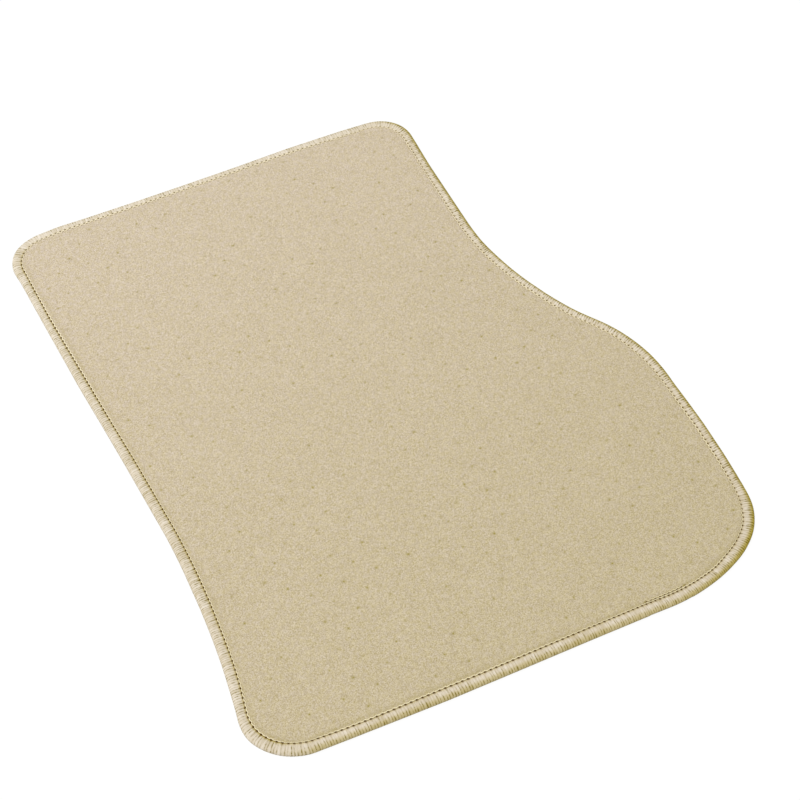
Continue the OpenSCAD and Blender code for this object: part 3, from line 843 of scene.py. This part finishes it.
nib_xy = nibs[:, None, None] + NIB_PROFILE[None, :, :1, None] * circle(NIB_SIDES)
nib_z = np.broadcast_to(NIB_PROFILE[None, :, 1:, None], nib_xy.shape[:3] + (1,))
nib_points = np.concatenate([nib_xy, nib_z], axis=-1)
tips = np.column_stack([nibs, np.zeros(len(nibs))])
upper = np.arange(SHEET_STATIONS)
lower = upper + SHEET_STATIONS
nib_number = 2 * SHEET_STATIONS + np.arange(nib_points.size // 3).reshape(nib_points.shape[:3])
tip_number = 2 * SHEET_STATIONS + nib_points.size // 3 + np.arange(len(nibs))
sheet = fill(cut_line(0)[:, :2])
under = fill(cut_line(0)[:, :2], nib_points[:, 0, :, :2].reshape(-1, 2))
of_nib = np.where(under < SHEET_STATIONS, -1 - under, (under - SHEET_STATIONS) // NIB_SIDES)
under = under[np.ptp(of_nib, axis=1) > 0]
under_number = np.concatenate([lower, nib_number[:, 0].ravel()])
a, b = nib_number[:, :-1], nib_number[:, 1:]
ahead, beyond = np.roll(a, -1, axis=2), np.roll(b, -1, axis=2)
last = nib_number[:, -1]
tip = np.broadcast_to(tip_number[:, None], last.shape)
backing_triangles = np.concatenate([
    sheet, wall(upper, lower), under_number[under][:, ::-1],
    np.stack([a, b, beyond], axis=-1).reshape(-1, 3), np.stack([a, beyond, ahead], axis=-1).reshape(-1, 3),
    np.stack([last, tip, np.roll(last, -1, axis=1)], axis=-1).reshape(-1, 3)])
backing_points = np.concatenate([cut_line(SHEET_TOP), cut_line(SHEET_Z), nib_points.reshape(-1, 3), tips])
backing = make_piece("nib_rubber_backing", backing_points, backing_triangles, rubber_finish)
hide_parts("nib_backing")

# %% [markdown]
# ## The hidden layers
#
# Between pile and rubber lie the woven cloth that holds the tufts and the latex coat that locks them. They
# show only if the mat is cut. The cloth is a plain weave of flat ribbons, one over one under, and the latex
# has the cloudy finish of a dried coat. Both could stay as the solids of the CAD source, but the yarn drifts
# and the cut edge drifts with it, so each is a thin closed sheet with the rubber's own edge.

# %% Woven cloth and dried latex
RIBBON_MM, FROTH_MM = 1.6, 3.0
# A wave's bands are 2 pi / 20 of its unit apart
WAVE_UNIT = 2 * math.pi / 20

cloth_finish, tree = new_material("woven_polypropylene_ribbon")
place = add_node(tree, "ShaderNodeTexCoord", {}, {}).outputs["Object"]
over = add_node(tree, "ShaderNodeTexChecker", {}, {
    "Vector": place, "Scale": per_mm(RIBBON_MM)}).outputs["Fac"]
warp, weft = (add_node(tree, "ShaderNodeTexWave", {"bands_direction": axis}, {
    "Vector": place, "Scale": per_mm(RIBBON_MM) * WAVE_UNIT}).outputs["Fac"] for axis in "XY")
ribbon = add_node(tree, "ShaderNodeMix", {}, {0: over, 2: warp, 3: weft}).outputs[0]
colour = add_node(tree, "ShaderNodeMix", {"data_type": "RGBA"}, {
    0: ribbon, 6: linear("#b7ad97"), 7: linear("#e6dfcf")})
relief = add_node(tree, "ShaderNodeBump", {}, {"Height": ribbon, "Strength": 0.5, "Distance": 0.2 * MM})
surface = add_node(tree, "ShaderNodeBsdfPrincipled", {}, {
    "Base Color": colour.outputs[2], "Normal": relief.outputs[0], "Roughness": 0.5, "IOR": 1.49})
set_surface(cloth_finish, surface)

latex_finish, tree = new_material("dried_latex_coat")
place = add_node(tree, "ShaderNodeTexCoord", {}, {}).outputs["Object"]
froth = add_node(tree, "ShaderNodeTexNoise", {}, {
    "Vector": place, "Scale": per_mm(FROTH_MM), "Detail": 5.0, "Roughness": 0.6}).outputs["Fac"]
colour = add_node(tree, "ShaderNodeMix", {"data_type": "RGBA"}, {
    0: froth, 6: linear("#d8cfb4"), 7: linear("#f6f1e3")})
relief = add_node(tree, "ShaderNodeBump", {}, {"Height": froth, "Strength": 0.3, "Distance": 0.2 * MM})
surface = add_node(tree, "ShaderNodeBsdfPrincipled", {}, {
    "Base Color": colour.outputs[2], "Normal": relief.outputs[0], "Roughness": 0.6, "IOR": 1.52})
set_surface(latex_finish, surface)

# %% Layers of cloth and latex
CLOTH_LOW = 3.8

layer_triangles = np.concatenate([sheet, sheet[:, ::-1] + SHEET_STATIONS, wall(upper, lower)])
cloth = make_piece("primary_backing_cloth", np.concatenate([cut_line(PILE_Z), cut_line(CLOTH_LOW)]),
                   layer_triangles, cloth_finish)
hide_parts("primary_backing")
latex = make_piece("dried_latex_layer", np.concatenate([cut_line(CLOTH_LOW), cut_line(SHEET_TOP)]),
                   layer_triangles, latex_finish)
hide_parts("latex_coat")

# %% [markdown]
# ## Ground and light
#
# The mat lies on white ground that shows almost no shadow. A white floor alone would throw much light back
# up at the rim, so the floor is mostly lit from within as the camera sees it, and only the rest of its
# brightness is light that the mat can shade. One large soft lamp stands high above the left side, and an
# even sky fills the shade.

# %% White floor
# Light from within and white that can be shaded, as the camera sees them, and white that lights the mat
GLOW, MATT, BOUNCE = 0.95, 0.07, 0.80
FLOOR_HALF = 30.0


def seen_directly(tree):
    """Output of nodes that is 1 on light's way to the camera, also by a mirror or through glass, and 0 where
    light falls on the mat."""
    ray = add_node(tree, "ShaderNodeLightPath", {}, {})
    seen = ray.outputs["Is Camera Ray"]
    for way in ("Is Glossy Ray", "Is Transmission Ray"):
        seen = add_node(tree, "ShaderNodeMath", {"operation": "MAXIMUM"}, {
            0: seen, 1: ray.outputs[way]}).outputs[0]
    return seen


floor_finish, tree = new_material("matt_white_studio_floor")
seen = seen_directly(tree)
glow = add_node(tree, "ShaderNodeMath", {"operation": "MULTIPLY"}, {0: seen, 1: GLOW})
lift = add_node(tree, "ShaderNodeEmission", {}, {"Color": (1, 1, 1, 1), "Strength": glow.outputs[0]})
matt = add_node(tree, "ShaderNodeBsdfDiffuse", {}, {"Color": (MATT, MATT, MATT, 1)})
both = add_node(tree, "ShaderNodeAddShader", {}, {0: lift.outputs[0], 1: matt.outputs[0]})
white = add_node(tree, "ShaderNodeBsdfDiffuse", {}, {"Color": (BOUNCE, BOUNCE, BOUNCE, 1)})
ground = add_node(tree, "ShaderNodeMixShader", {}, {
    0: seen, 1: white.outputs[0], 2: both.outputs[0]})
set_surface(floor_finish, ground)
floor_mesh = bpy.data.meshes.new("studio_floor")
corners = [(x * FLOOR_HALF, y * FLOOR_HALF, 0) for x, y in ((-1, -1), (1, -1), (1, 1), (-1, 1))]
floor_mesh.from_pydata(corners, [], [(0, 1, 2, 3)])
floor_mesh.materials.append(floor_finish)
floor = bpy.data.objects.new("studio_floor", floor_mesh)
scene.collection.objects.link(floor)

# %% Light and sky
FILL, FILL_COLOUR = 0.50, linear("#fffaf0")
KEY_FROM = Vector((-0.42, -0.02, 0.90)).normalized()
KEY_DISTANCE, KEY_SIZE, KEY_WATTS = 8.0, 2.6, 385

world = bpy.data.worlds.new("soft_studio")
world.use_nodes = True
tree = world.node_tree
tree.nodes.clear()
seen = seen_directly(tree)
strength = add_node(tree, "ShaderNodeMapRange", {}, {"Value": seen, "To Min": FILL, "To Max": 1.0})
tint = add_node(tree, "ShaderNodeMix", {"data_type": "RGBA"}, {0: seen, 6: FILL_COLOUR, 7: (1, 1, 1, 1)})
sky = add_node(tree, "ShaderNodeBackground", {}, {"Color": tint.outputs[2], "Strength": strength.outputs[0]})
add_node(tree, "ShaderNodeOutputWorld", {}, {"Surface": sky.outputs[0]})
scene.world = world

key = bpy.data.objects.new("key_light", bpy.data.lights.new("key_light", "AREA"))
key.data.size, key.data.energy = KEY_SIZE, KEY_WATTS
key.matrix_world = (Matrix.Translation(KEY_FROM * KEY_DISTANCE)
                    @ KEY_FROM.to_track_quat("Z", "Y").to_matrix().to_4x4())
scene.collection.objects.link(key)
scene.view_settings.view_transform = "Standard"
